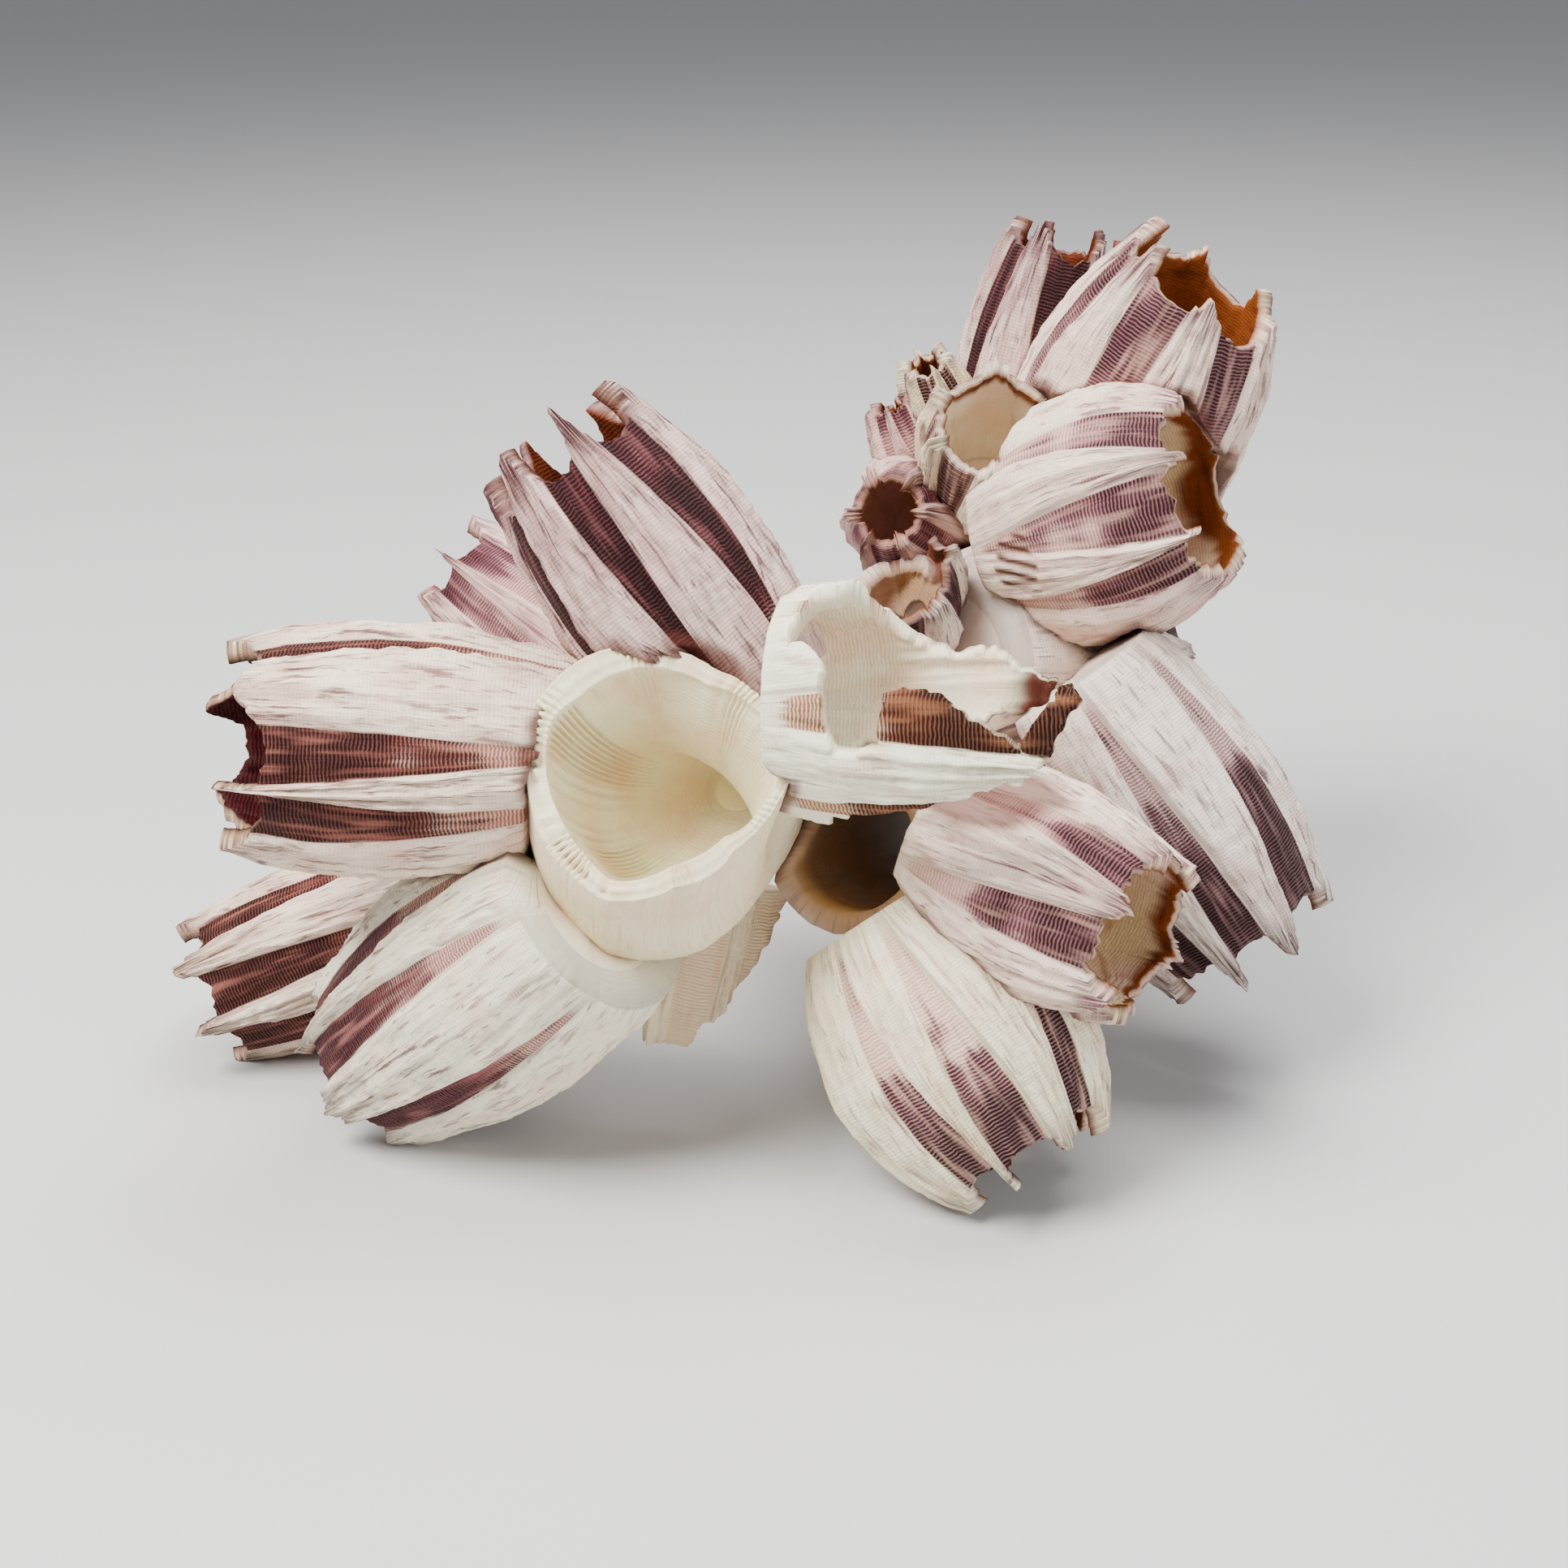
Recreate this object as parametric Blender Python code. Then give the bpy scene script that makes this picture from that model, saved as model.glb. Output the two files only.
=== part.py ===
"""Cluster of giant acorn barnacles: empty shells cemented to one another.

Every shell is a barrel of six wall plates. Each plate is a raised triangle, wide at the base
and pointed at the mouth, and between the plates lie sunken strips, the radii, which widen
towards the mouth. A shell that grew on another one starts on that one's wall.
Lengths here are millimetres until the meshes are written in metres.
"""
import math

import bmesh
import bpy
import numpy as np

MM = 0.001

# Driving dimensions
CENTRE = (-6.08, 7.3)
GAP = 0.9
WALL_BASE = 2.2
WALL_RIM = 1.1
FLOOR = 2.4
RIDGE = 0.7
GROOVE = 1.3
FACING = (0.06, -0.92, 0.39)

# Where each plate is crossed by the mesh: -1 and 1 are the sides of a radius, 2 is mid plate
PLATE_LINES = (-1.0, 0.0, 1.0, 2.0)
SMALL_LINES = (0.0, 1.2, 2.8)
EVEN_LINES = (-0.5, 0.5, 1.5, 2.5)
BASE_SEARCH = 0.75
SQUEEZE = 0.6
SOFTEN = 2
EDGE_MARGIN = 1.2
TOP_MARGIN = 1.04
CAP_REACH = 0.45

# Colours of the plates, from the whitest shells to the most purple ones
CREAM = (0.80, 0.74, 0.64, 1.0)
BLUSH = (0.68, 0.55, 0.52, 1.0)
MAUVE = (0.45, 0.32, 0.33, 1.0)

EVEN = ((0, 34), (60, 34), (120, 34), (180, 34), (240, 34), (300, 34))


def unit(vector):
    vector = np.array(vector, float)
    return vector / np.linalg.norm(vector)


def turned(radii, by):
    """The same radii turned about the axis, each a little off its even place."""
    moved = []
    for n, (angle, width) in enumerate(radii):
        moved.append((angle + by + 7 * math.sin(1.7 * n + by), width * (0.85 + 0.3 * math.sin(n + by) ** 2)))
    return tuple(moved)


class Barnacle:
    """One shell: its axis from base to mouth, its widths, and where its radii lie."""

    def __init__(self, name, base, mouth, widths, radii=EVEN, belly=0.5, bow=(0, 0, 0), tip=0.04,
                 notch=0.09, lean=(0, 0), standing=None, open_base=False, hollow=None, spread=0.35, rows=5,
                 lines=PLATE_LINES, colour=CREAM, groove=GROOVE, gap=GAP):
        self.name = name
        self.base = np.array(base, float)
        self.axis = unit(np.array(mouth, float) - self.base)
        self.length = float(np.linalg.norm(np.array(mouth, float) - self.base))
        self.widths = widths
        self.belly = belly
        self.bow = np.array(bow, float) - np.dot(bow, self.axis) * self.axis
        self.radii = sorted((math.radians(a % 360), math.radians(w)) for a, w in radii)
        self.tip = tip
        self.notch = notch
        self.lean = lean
        self.standing = standing
        self.open_base = open_base
        self.hollow = hollow
        self.spread = spread
        self.rows = rows
        self.lines = lines
        self.colour = colour
        self.groove = groove
        self.gap = gap
        towards = np.array(FACING) - np.dot(FACING, self.axis) * self.axis
        self.front = unit(towards)
        self.side = np.cross(self.axis, self.front)

    def centre(self, s):
        """The middle of the barrel at height s, which is 0 at the base and 1 at the mouth."""
        s = np.asarray(s, float)[..., None]
        return self.base + s * self.length * self.axis + self.bow * np.sin(np.pi * np.clip(s, 0, 1))

    def radius(self, s):
        """The parabola through the base, belly and mouth radii."""
        foot, belly, mouth = self.widths
        b = self.belly
        s = np.clip(s, -0.1, 1.25)
        return (foot * (s - b) * (s - 1) / b + belly * s * (s - 1) / (b * (b - 1))
                + mouth * s * (s - b) / (1 - b))

    def direction(self, angle):
        angle = np.asarray(angle, float)[..., None]
        return np.cos(angle) * self.front + np.sin(angle) * self.side

    def inside(self, points, gap):
        """Which points lie in the filled-in shell, grown by gap."""
        rise = (points - self.base) @ self.axis
        s = rise / self.length
        across = points - self.centre(s)
        across = across - (across @ self.axis)[..., None] * self.axis
        limit = self.radius(s) + RIDGE + gap
        within = (rise > -gap - EDGE_MARGIN) & (s < TOP_MARGIN)
        return within & (np.linalg.norm(across, axis=-1) < limit)

    def line_angle(self, plate, place, s):
        """The angle of a mesh line that keeps its place on a plate as the radii widen."""
        here, width = self.radii[plate]
        after, next_width = self.radii[(plate + 1) % len(self.radii)]
        after += 2 * math.pi * (plate + 1 == len(self.radii))
        growth = self.spread + (1 - self.spread) * np.clip(s, 0, 1) ** 1.2
        left = here + 0.5 * width * growth
        right = after - 0.5 * next_width * growth
        if abs(place) <= 1:
            return here + 0.5 * width * growth * place
        return left + (right - left) * 0.5 * (place - 1)

    def relief(self, place, s):
        """How far the wall stands out: sunken in a radius, ridged down a plate."""
        grow = np.clip(s, 0, 1) ** 0.6
        if abs(place) < 1:
            return -self.groove * grow
        return RIDGE * (1 - (place - 2) ** 2) * (0.4 + 0.6 * grow)

    def rim(self, plate, place, angle):
        """Height of the rim: a pointed tip on each plate, a dip at each radius."""
        reach = 0.35 * abs(place) if abs(place) <= 1 else 0.35 + 0.65 * (1 - abs(place - 2))
        tip = self.tip * (1 + 0.5 * math.sin(2.4 * plate + 3 * self.length))
        lean, towards = self.lean
        tilt = lean * math.cos(angle - math.radians(towards))
        return 1 - self.notch + (self.notch + tip) * reach ** 1.3 + tilt

    def stands(self, angle, s):
        """Whether the wall is still there: a broken shell keeps only part of its round."""
        if self.standing is None:
            return True
        heights, starts, ends = zip(*self.standing)
        start = np.interp(s, heights, starts)
        return (math.degrees(angle) - start) % 360 <= np.interp(s, heights, ends) - start


def touching(points, others, gap):
    """Which points lie in any of the other shells."""
    hit = np.zeros(points.shape[:-1], bool)
    for other in others:
        hit |= other.inside(points, gap)
    return hit


def freed(points, centres, others, gap):
    """Points pulled towards their own axis until they are clear of the other shells."""
    low = np.full(points.shape[:-1], SQUEEZE)
    high = np.ones_like(low)
    hit = touching(points, others, gap)
    for step in range(9):
        middle = 0.5 * (low + high)
        bad = touching(centres + (points - centres) * middle[..., None], others, gap)
        high = np.where(bad, middle, high)
        low = np.where(bad, low, middle)
    share = np.where(hit, low, 1.0)
    for step in range(SOFTEN):
        around = 0.5 * (np.roll(share, 1) + np.roll(share, -1))
        share = np.minimum(share, 0.5 * (share + around))
    return centres + (points - centres) * share[..., None]


def foot_height(shell, plate, place, reach, others):
    """Where a mesh line leaves the shells that this one grew on, at a share of its radius."""
    s = np.linspace(0.0, BASE_SEARCH, 61)

    def covered(s):
        angle = shell.line_angle(plate, place, s)
        radius = shell.radius(s) + shell.relief(place, s)
        points = shell.centre(s) + (reach * radius)[..., None] * shell.direction(angle)
        return touching(points, others, shell.gap)

    hits = np.nonzero(covered(s))[0]
    if not len(hits):
        return 0.0
    low = s[hits[-1]]
    high = low + s[1]
    for step in range(8):
        middle = 0.5 * (low + high)
        if covered(np.array([middle]))[0]:
            low = middle
        else:
            high = middle
    return high


def plate_places(shell):
    return [(plate, place) for plate in range(len(shell.radii)) for place in shell.lines]


def wall_ring(shell, heights, others):
    """One ring of points on the outer wall, and the axis points behind them."""
    points = []
    centres = []
    for (plate, place), s in zip(plate_places(shell), heights):
        angle = shell.line_angle(plate, place, s)
        radius = shell.radius(s) + shell.relief(place, s)
        centres.append(shell.centre(s))
        points.append(centres[-1] + radius * shell.direction(angle))
    points = np.array(points)
    centres = np.array(centres)
    return freed(points, centres, others, shell.gap), centres


def hollow_ring(shell, ring, centres, share):
    """The inner side of the wall, thicker towards the base; share is 0 at the base, 1 at the rim."""
    across = ring - centres
    reach = np.linalg.norm(across, axis=-1)[:, None]
    inner = centres + across * (1 - np.minimum((WALL_BASE + (WALL_RIM - WALL_BASE) * share) / reach, 0.8))
    if shell.hollow is None:
        return inner
    deep, deep_radius, middle_radius = shell.hollow
    rim_radius = shell.widths[2] - WALL_RIM
    middle = np.array(deep) + share * (shell.centre(1.0) - np.array(deep))
    bulge = middle_radius - 0.5 * (deep_radius + rim_radius)
    radius = deep_radius + share * (rim_radius - deep_radius) + 4 * bulge * share * (1 - share)
    return kept_inside(shell, middle + across / reach * radius)


def kept_inside(shell, points):
    """Points of the inner wall moved inwards where they come too near to the outer wall."""
    s = ((points - shell.base) @ shell.axis) / shell.length
    middle = shell.centre(s)
    away = points - middle
    along = (away @ shell.axis)[:, None] * shell.axis
    away = away - along
    limit = shell.radius(s) - shell.groove - WALL_BASE
    share = np.minimum(1.0, limit / np.linalg.norm(away, axis=-1))
    return middle + along + away * share[:, None]


def hollow_floor(shell):
    """The middle point and one ring across the deep end of a stated hollow."""
    deep, deep_radius, middle_radius = shell.hollow
    angles = np.array([shell.line_angle(plate, place, 0.0) for plate, place in plate_places(shell)])
    return np.array([deep]), np.array(deep) + deep_radius * CAP_REACH * shell.direction(angles)


def cap_points(shell, others, lift):
    """The middle point and one ring across the base, or across the floor inside."""
    if lift and shell.hollow is not None:
        return hollow_floor(shell)
    middle = foot_height(shell, 0, 0.0, 0.0, others) + lift
    ring = []
    for plate, place in plate_places(shell):
        s = foot_height(shell, plate, place, CAP_REACH, others) + lift
        angle = shell.line_angle(plate, place, s)
        ring.append(shell.centre(s) + shell.radius(s) * CAP_REACH * shell.direction(angle))
    return shell.centre(np.array(middle))[None, :], np.array(ring)


def row_heights(shell, others):
    """Heights of the mesh rows along each line, from its foot to its rim."""
    places = plate_places(shell)
    foot = np.array([foot_height(shell, plate, place, SQUEEZE, others) for plate, place in places])
    rim = np.array([shell.rim(plate, place, shell.line_angle(plate, place, 1.0))
                    for plate, place in places])
    rim = np.maximum(rim, foot + 0.12)
    if shell.open_base:
        return [foot + (rim - foot) * row / shell.rows for row in range(shell.rows + 1)]
    floor = np.minimum(foot + FLOOR / shell.length, foot + 0.6 * (rim - foot))
    steps = shell.rows - 1
    return [foot] + [floor + (rim - floor) * row / steps for row in range(steps + 1)]


def shell_surface(shell, others):
    """Points and faces of the closed solid: outer wall, rim, inner wall, floor and base."""
    heights = row_heights(shell, others)
    count = len(heights[0])
    first = 0 if shell.open_base else 1
    outer = []
    inner = []
    for row, height in enumerate(heights):
        ring, centres = wall_ring(shell, height, others)
        share = max(0, row - first) / (shell.rows - first)
        outer.append(ring)
        inner.append(hollow_ring(shell, ring, centres, share))
    points = np.vstack(outer + inner)
    angles = [shell.line_angle(plate, place, 0.7) for plate, place in plate_places(shell)]
    kept = np.ones((shell.rows, count), bool)
    for row in range(first, shell.rows):
        for column in range(count):
            s = 0.5 * (heights[row][column] + heights[row + 1][column])
            middle = angles[column] + 0.5 * ((angles[(column + 1) % count] - angles[column]) % math.tau)
            kept[row, column] = shell.stands(middle, s)
    faces = wall_faces(kept, first, shell.rows, count)
    if not shell.open_base:
        inner_start = (shell.rows + 1) * count
        for lift, start in ((0.0, 0), (FLOOR / shell.length, inner_start + count)):
            middle, ring = cap_points(shell, others, lift)
            faces += cap_faces(start, len(points), count)
            points = np.vstack([points, ring, middle])
    return points, faces


def wall_faces(kept, first, rows, count):
    """Faces of the wall's two sides, and of every edge where a kept cell meets a missing one."""
    def outer(row, column):
        return row * count + column % count

    def inner(row, column):
        return (rows + 1 + row) * count + column % count

    faces = []
    for row in range(rows):
        for n in range(count):
            if not kept[row, n]:
                continue
            faces.append([outer(row, n), outer(row, n + 1), outer(row + 1, n + 1), outer(row + 1, n)])
            if row == rows - 1 or not kept[row + 1, n]:
                faces.append([outer(row + 1, n), outer(row + 1, n + 1), inner(row + 1, n + 1),
                              inner(row + 1, n)])
            if row < first:
                continue
            faces.append([inner(row, n), inner(row + 1, n), inner(row + 1, n + 1), inner(row, n + 1)])
            if (row == 0 and first == 0) or (row > 0 and not kept[row - 1, n]):
                faces.append([outer(row, n + 1), outer(row, n), inner(row, n), inner(row, n + 1)])
            for side, column in ((n, (n - 1) % count), (n + 1, (n + 1) % count)):
                if not kept[row, column]:
                    faces.append([outer(row, side), outer(row + 1, side), inner(row + 1, side),
                                  inner(row, side)])
    return faces


def cap_faces(edge, ring, count):
    """Quads from an edge ring to a smaller one, and a fan to its middle point."""
    faces = []
    for n in range(count):
        m = (n + 1) % count
        faces.append([edge + n, edge + m, ring + m, ring + n])
        faces.append([ring + n, ring + m, ring + count])
    return faces


def cut_flat(bm):
    """Worn flats where the cluster rests: what lies below the ground is cut away."""
    geometry = list(bm.verts) + list(bm.edges) + list(bm.faces)
    bmesh.ops.bisect_plane(bm, geom=geometry, dist=1e-7, plane_co=(0, 0, 0), plane_no=(0, 0, -1),
                           clear_outer=True)
    edges = [edge for edge in bm.edges if edge.is_boundary]
    if edges:
        bmesh.ops.holes_fill(bm, edges=edges, sides=0)


def material_of(shell):
    material = bpy.data.materials.new(shell.name)
    material.use_nodes = True
    shader = material.node_tree.nodes["Principled BSDF"]
    shader.inputs["Base Color"].default_value = shell.colour
    shader.inputs["Roughness"].default_value = 0.6
    shader.inputs["Metallic"].default_value = 0.0
    return material


def build_shell(shell, others):
    """The closed solid of one shell, as a named object."""
    points, faces = shell_surface(shell, others)
    points = (points - np.array([CENTRE[0], CENTRE[1], 0.0])) * MM
    mesh = bpy.data.meshes.new(shell.name)
    mesh.from_pydata(points.tolist(), [], faces)
    bm = bmesh.new()
    bm.from_mesh(mesh)
    bmesh.ops.delete(bm, geom=[v for v in bm.verts if not v.link_faces], context="VERTS")
    bmesh.ops.triangulate(bm, faces=bm.faces)
    cut_flat(bm)
    bmesh.ops.triangulate(bm, faces=bm.faces)
    bmesh.ops.recalc_face_normals(bm, faces=bm.faces)
    bm.to_mesh(mesh)
    bm.free()
    mesh.shade_smooth()
    mesh.set_sharp_from_angle(angle=math.radians(40))
    part = bpy.data.objects.new(shell.name, mesh)
    bpy.context.scene.collection.objects.link(part)
    part.data.materials.append(material_of(shell))
    return part


def cluster():
    """Every shell of the cluster, in the order in which they grew."""
    return [
        Barnacle("barnacle_front_cup", (-8.0, -5.0, 39.0), (-12.9, -30.0, 51.1), (10.0, 13.6, 13.6),
                 radii=turned(EVEN, 20), belly=0.5, bow=(-1.5, 0.0, -4.5), tip=0.0, notch=0.0,
                 hollow=((-6.0, -9.5, 42.5), 3.5, 9.5), spread=1.0, lines=EVEN_LINES, groove=0.3,
                 colour=CREAM),
        Barnacle("barnacle_rear_lower", (7.5, -15.0, 36.0), (30.0, 40.0, 10.6), (10.0, 13.5, 11.5),
                 radii=turned(EVEN, 10), open_base=True, rows=4, colour=MAUVE),
        Barnacle("barnacle_left_upper", (-18.0, -17.5, 49.8), (-57.0, -18.0, 49.8), (8.0, 13.2, 10.6),
                 radii=((60, 18), (-3, 32), (-38, 30), (-100, 34), (180, 30), (115, 30)),
                 belly=0.55, colour=BLUSH),
        Barnacle("barnacle_left_lower", (-15.5, -18.0, 29.0), (-49.0, -11.0, 7.0), (12.2, 13.8, 9.9),
                 radii=((55, 26), (22, 26), (-35, 22), (-100, 34), (165, 30), (110, 30)),
                 belly=0.5, colour=BLUSH),
        Barnacle("barnacle_top_front", (-4.0, -15.5, 56.0), (-23.8, -8.5, 80.8), (9.0, 12.6, 8.5),
                 radii=((35, 34), (-15, 24), (-75, 34), (-125, 34), (170, 34), (95, 34)),
                 belly=0.5, tip=0.06, notch=0.14, colour=BLUSH),
        Barnacle("barnacle_broken", (0.5, -22.0, 56.0), (33.0, -30.0, 58.0), (11.5, 12.5, 10.0),
                 radii=turned(EVEN, 40), lines=EVEN_LINES, rows=7, spread=1.0, notch=0.0, tip=0.0,
                 standing=((0.0, -25, 335), (0.1, -25, 300), (0.17, -15, 285), (0.22, 20, 255),
                           (0.35, 22, 218), (0.39, -5, 213), (0.56, -6, 214), (0.7, 9, 205),
                           (0.77, 30, 200), (0.84, 110, 199), (0.9, 150, 199), (1.1, 190, 199)),
                 colour=CREAM),
        Barnacle("barnacle_bottom_front", (10.0, -16.0, 26.5), (27.0, -31.0, 5.5), (12.5, 14.0, 9.6),
                 radii=((38, 26), (5, 30), (-40, 20), (-95, 34), (-150, 34), (110, 30)),
                 belly=0.5, colour=CREAM),
        Barnacle("barnacle_right_front", (18.2, -12.0, 35.6), (38.0, -31.5, 32.5), (10.5, 12.0, 9.2),
                 radii=((20, 34), (-35, 26), (-90, 34), (-150, 34), (150, 34), (85, 30)),
                 belly=0.45, tip=0.02, notch=0.06, colour=CREAM),
        Barnacle("barnacle_bridge", (20.0, 14.0, 47.0), (46.0, 42.0, 37.0), (13.0, 14.5, 10.5),
                 radii=turned(EVEN, 25), rows=4, colour=BLUSH),
        Barnacle("barnacle_right_back", (34.0, 8.0, 47.0), (55.0, -1.0, 20.0), (11.5, 14.2, 10.2),
                 radii=((50, 30), (10, 22), (-40, 34), (-95, 34), (-150, 34), (110, 34)),
                 rows=4, colour=BLUSH),
        Barnacle("barnacle_crown_cup", (26.0, 34.0, 62.0), (26.0, 20.0, 75.5), (7.0, 8.4, 7.4),
                 radii=turned(EVEN, 15), colour=CREAM, lines=SMALL_LINES, rows=3),
        Barnacle("barnacle_crown_round", (27.0, 21.0, 60.0), (50.0, 12.0, 69.0), (10.0, 14.7, 11.4),
                 radii=((40, 22), (5, 34), (-40, 26), (-100, 34), (180, 34), (100, 34)),
                 belly=0.5, tip=0.02, notch=0.06, gap=1.4, colour=BLUSH),
        Barnacle("barnacle_crown_large", (38.0, 34.0, 58.6), (51.0, 27.0, 91.0), (11.0, 14.0, 9.6),
                 radii=((-25, 34), (35, 30), (90, 34), (150, 34), (210, 34), (-80, 30)),
                 belly=0.55, lean=(0.05, 270), rows=4, gap=1.5, colour=BLUSH),
        Barnacle("barnacle_crown_rear", (30.0, 44.0, 62.0), (37.5, 46.0, 92.5), (8.0, 9.5, 7.0),
                 radii=turned(EVEN, 50), colour=MAUVE, lines=SMALL_LINES, rows=4),
        Barnacle("barnacle_crown_small", (20.0, 36.0, 57.0), (13.0, 21.0, 64.5), (7.0, 8.2, 6.0),
                 radii=turned(EVEN, 35), colour=MAUVE, lines=SMALL_LINES, rows=3),
        Barnacle("barnacle_crown_bud", (20.0, 40.0, 61.0), (14.5, 41.0, 73.0), (4.0, 4.6, 3.0),
                 radii=turned(EVEN, 5), colour=MAUVE, lines=SMALL_LINES, rows=3),
        Barnacle("barnacle_crown_knob", (24.0, 42.0, 66.0), (18.5, 38.0, 79.0), (4.0, 4.4, 3.0),
                 radii=turned(EVEN, 25), colour=CREAM, lines=SMALL_LINES, rows=3),
        Barnacle("barnacle_crown_low", (15.5, 18.0, 50.0), (13.0, 7.0, 61.0), (6.0, 7.4, 7.0),
                 radii=turned(EVEN, 45), colour=BLUSH, lines=SMALL_LINES, rows=3, tip=0.02,
                 standing=((0.0, 0, 360), (0.4, -110, 110), (1.0, -95, 100))),
        Barnacle("barnacle_hanging_wall", (-8.0, -2.0, 27.0), (-12.5, -7.0, 8.0), (9.5, 9.0, 7.5),
                 radii=turned(EVEN, 0), open_base=True, colour=CREAM, rows=4, spread=1.0,
                 lines=EVEN_LINES, groove=0.2, tip=0.0, notch=0.0,
                 standing=((0.0, -70, 62), (0.5, -45, 50), (1.0, -5, 30))),
        Barnacle("barnacle_left_back", (-36.0, 7.5, 21.0), (-71.5, 5.0, 7.4), (8.5, 10.8, 8.9),
                 radii=((50, 26), (0, 32), (-50, 34), (-110, 34), (180, 34), (110, 34)),
                 rows=4, colour=BLUSH),
        Barnacle("barnacle_top_back", (-12.0, 2.0, 43.0), (-39.0, 20.5, 57.5), (7.5, 8.6, 6.0),
                 radii=turned(EVEN, 30), colour=BLUSH, lines=SMALL_LINES, rows=3),
    ]


def main():
    for leftover in list(bpy.data.objects):
        bpy.data.objects.remove(leftover, do_unlink=True)
    grown = []
    for shell in cluster():
        build_shell(shell, grown)
        grown.append(shell)


main()
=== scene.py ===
"""Looks of the barnacle cluster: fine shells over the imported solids, a pale floor, soft light.

Each shell repeats the axis, widths and radii of its solid and adds what the solid is too coarse
for: ribs on the plates, striations across the radii, jagged rims, pores and the ribbed inside.
Lengths are millimetres until a mesh is written in metres.
"""

import math

import bpy
import numpy as np
from mathutils import Matrix, Vector


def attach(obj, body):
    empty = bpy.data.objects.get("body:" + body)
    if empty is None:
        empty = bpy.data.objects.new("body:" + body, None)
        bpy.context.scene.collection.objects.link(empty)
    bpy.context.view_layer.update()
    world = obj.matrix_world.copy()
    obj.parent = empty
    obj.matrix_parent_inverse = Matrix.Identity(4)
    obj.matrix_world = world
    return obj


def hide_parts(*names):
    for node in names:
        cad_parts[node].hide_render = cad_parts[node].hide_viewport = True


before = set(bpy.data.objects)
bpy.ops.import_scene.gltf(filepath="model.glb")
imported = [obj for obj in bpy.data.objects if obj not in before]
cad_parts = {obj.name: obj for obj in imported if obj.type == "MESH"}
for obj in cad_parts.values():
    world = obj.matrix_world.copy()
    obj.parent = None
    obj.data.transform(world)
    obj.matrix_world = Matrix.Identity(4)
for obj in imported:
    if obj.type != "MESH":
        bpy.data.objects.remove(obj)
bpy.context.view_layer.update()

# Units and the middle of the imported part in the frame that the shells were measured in
MM = 0.001
CENTRE = np.array([-6.08, 7.3, 0.0])

# The wall: height of a plate over its radii, and the direction that angle 0 of a shell faces
RIDGE = 0.7
FACING = np.array([0.06, -0.92, 0.39])

# Six even radii as (angle, width) in degrees, how wide they start, and how much the looks widen them
EVEN = ((0, 34), (60, 34), (120, 34), (180, 34), (240, 34), (300, 34))
SPREAD = 0.14
WIDER = 1.2

# How deep a foot sinks into the shells below, how deep a wall may cut into a neighbour,
# how far up the foot is searched, and where a neighbour counts as filled in
EMBED = 1.1
TOUCH = 0.45
BASE_SEARCH = 0.75
EDGE_MARGIN = 1.2
TOP_MARGIN = 1.04

# Share of the radius at which the foot line is measured, least height of a rim over its foot
FOOT_REACH = 0.85
LEAST_RISE = 0.12

# Thickness of the wall at its foot and of the floor inside
FOOT_WALL = 2.3
FLOOR = 2.2

# Fineness of the mesh for each level of detail: lines on a radius and a plate, rows outside and inside
LINES = ((7, 11), (10, 17), (13, 24), (18, 62))
OUTER_ROWS = (46, 80, 124, 56)
INNER_ROWS = (18, 32, 48, 84)

# Growth lines: periods on the radii, in the sheath, in the surface finish and in the scars
STRIA = 0.95
SHEATH_STRIA = 0.75
FINE_STRIA = 0.42
SCAR_STRIPE = 1.5

# The brown stripes deep in the cup
STAIN_PLACE = np.array([-2.5, -12.0, 44.5])
STAIN_SIZE = np.array([4.5, 9.0, 3.5])

# The camera as solved from the scale cube: place, tilts in degrees, focal length and picture in pixels
EYE = (0.0, -230.0, 137.2)
PITCH = 23.52
ROLL = 0.606
FOCAL = 2600
PICTURE = 1932


def unit(vector):
    return vector / np.linalg.norm(vector)


def turned(radii, by):
    """The same radii turned about the axis, each a little off its even place."""
    moved = []
    for n, (angle, width) in enumerate(radii):
        moved.append((angle + by + 7 * math.sin(1.7 * n + by),
                      width * (0.85 + 0.3 * math.sin(n + by) ** 2)))
    return tuple(moved)


def soft(low, high, value):
    """0 below low, 1 above high, smooth between."""
    t = np.clip((value - low) / (high - low), 0.0, 1.0)
    return t * t * (3 - 2 * t)


def hashed(x, y, z, seed):
    """A repeatable value between -1 and 1 for each whole-number place."""
    n = (x * 374761393 + y * 668265263 + z * 1440670441 + seed * 1013904223) & 0xFFFFFFFF
    n = ((n ^ (n >> 13)) * 1274126177) & 0xFFFFFFFF
    n = ((n ^ (n >> 16)) * 668265263) & 0xFFFFFFFF
    return ((n >> 8) & 0xFFFF) / 32767.5 - 1.0


def noise(points, size, seed=0):
    """Smooth noise through space, with lumps of about the given size."""
    place = points / size
    cell = np.floor(place).astype(np.int64)
    part = place - cell
    part = part * part * (3 - 2 * part)
    total = np.zeros(points.shape[:-1])
    for dx in (0, 1):
        for dy in (0, 1):
            for dz in (0, 1):
                weight = (np.abs(1 - dx - part[..., 0]) * np.abs(1 - dy - part[..., 1])
                          * np.abs(1 - dz - part[..., 2]))
                total += weight * hashed(cell[..., 0] + dx, cell[..., 1] + dy, cell[..., 2] + dz, seed)
    return total


def line_noise(x, y, seed=0):
    """Smooth noise over two coordinates."""
    x, y = np.broadcast_arrays(x, y)
    return noise(np.stack([x, y, np.full(x.shape, 0.37)], axis=-1), 1.0, seed)


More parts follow.
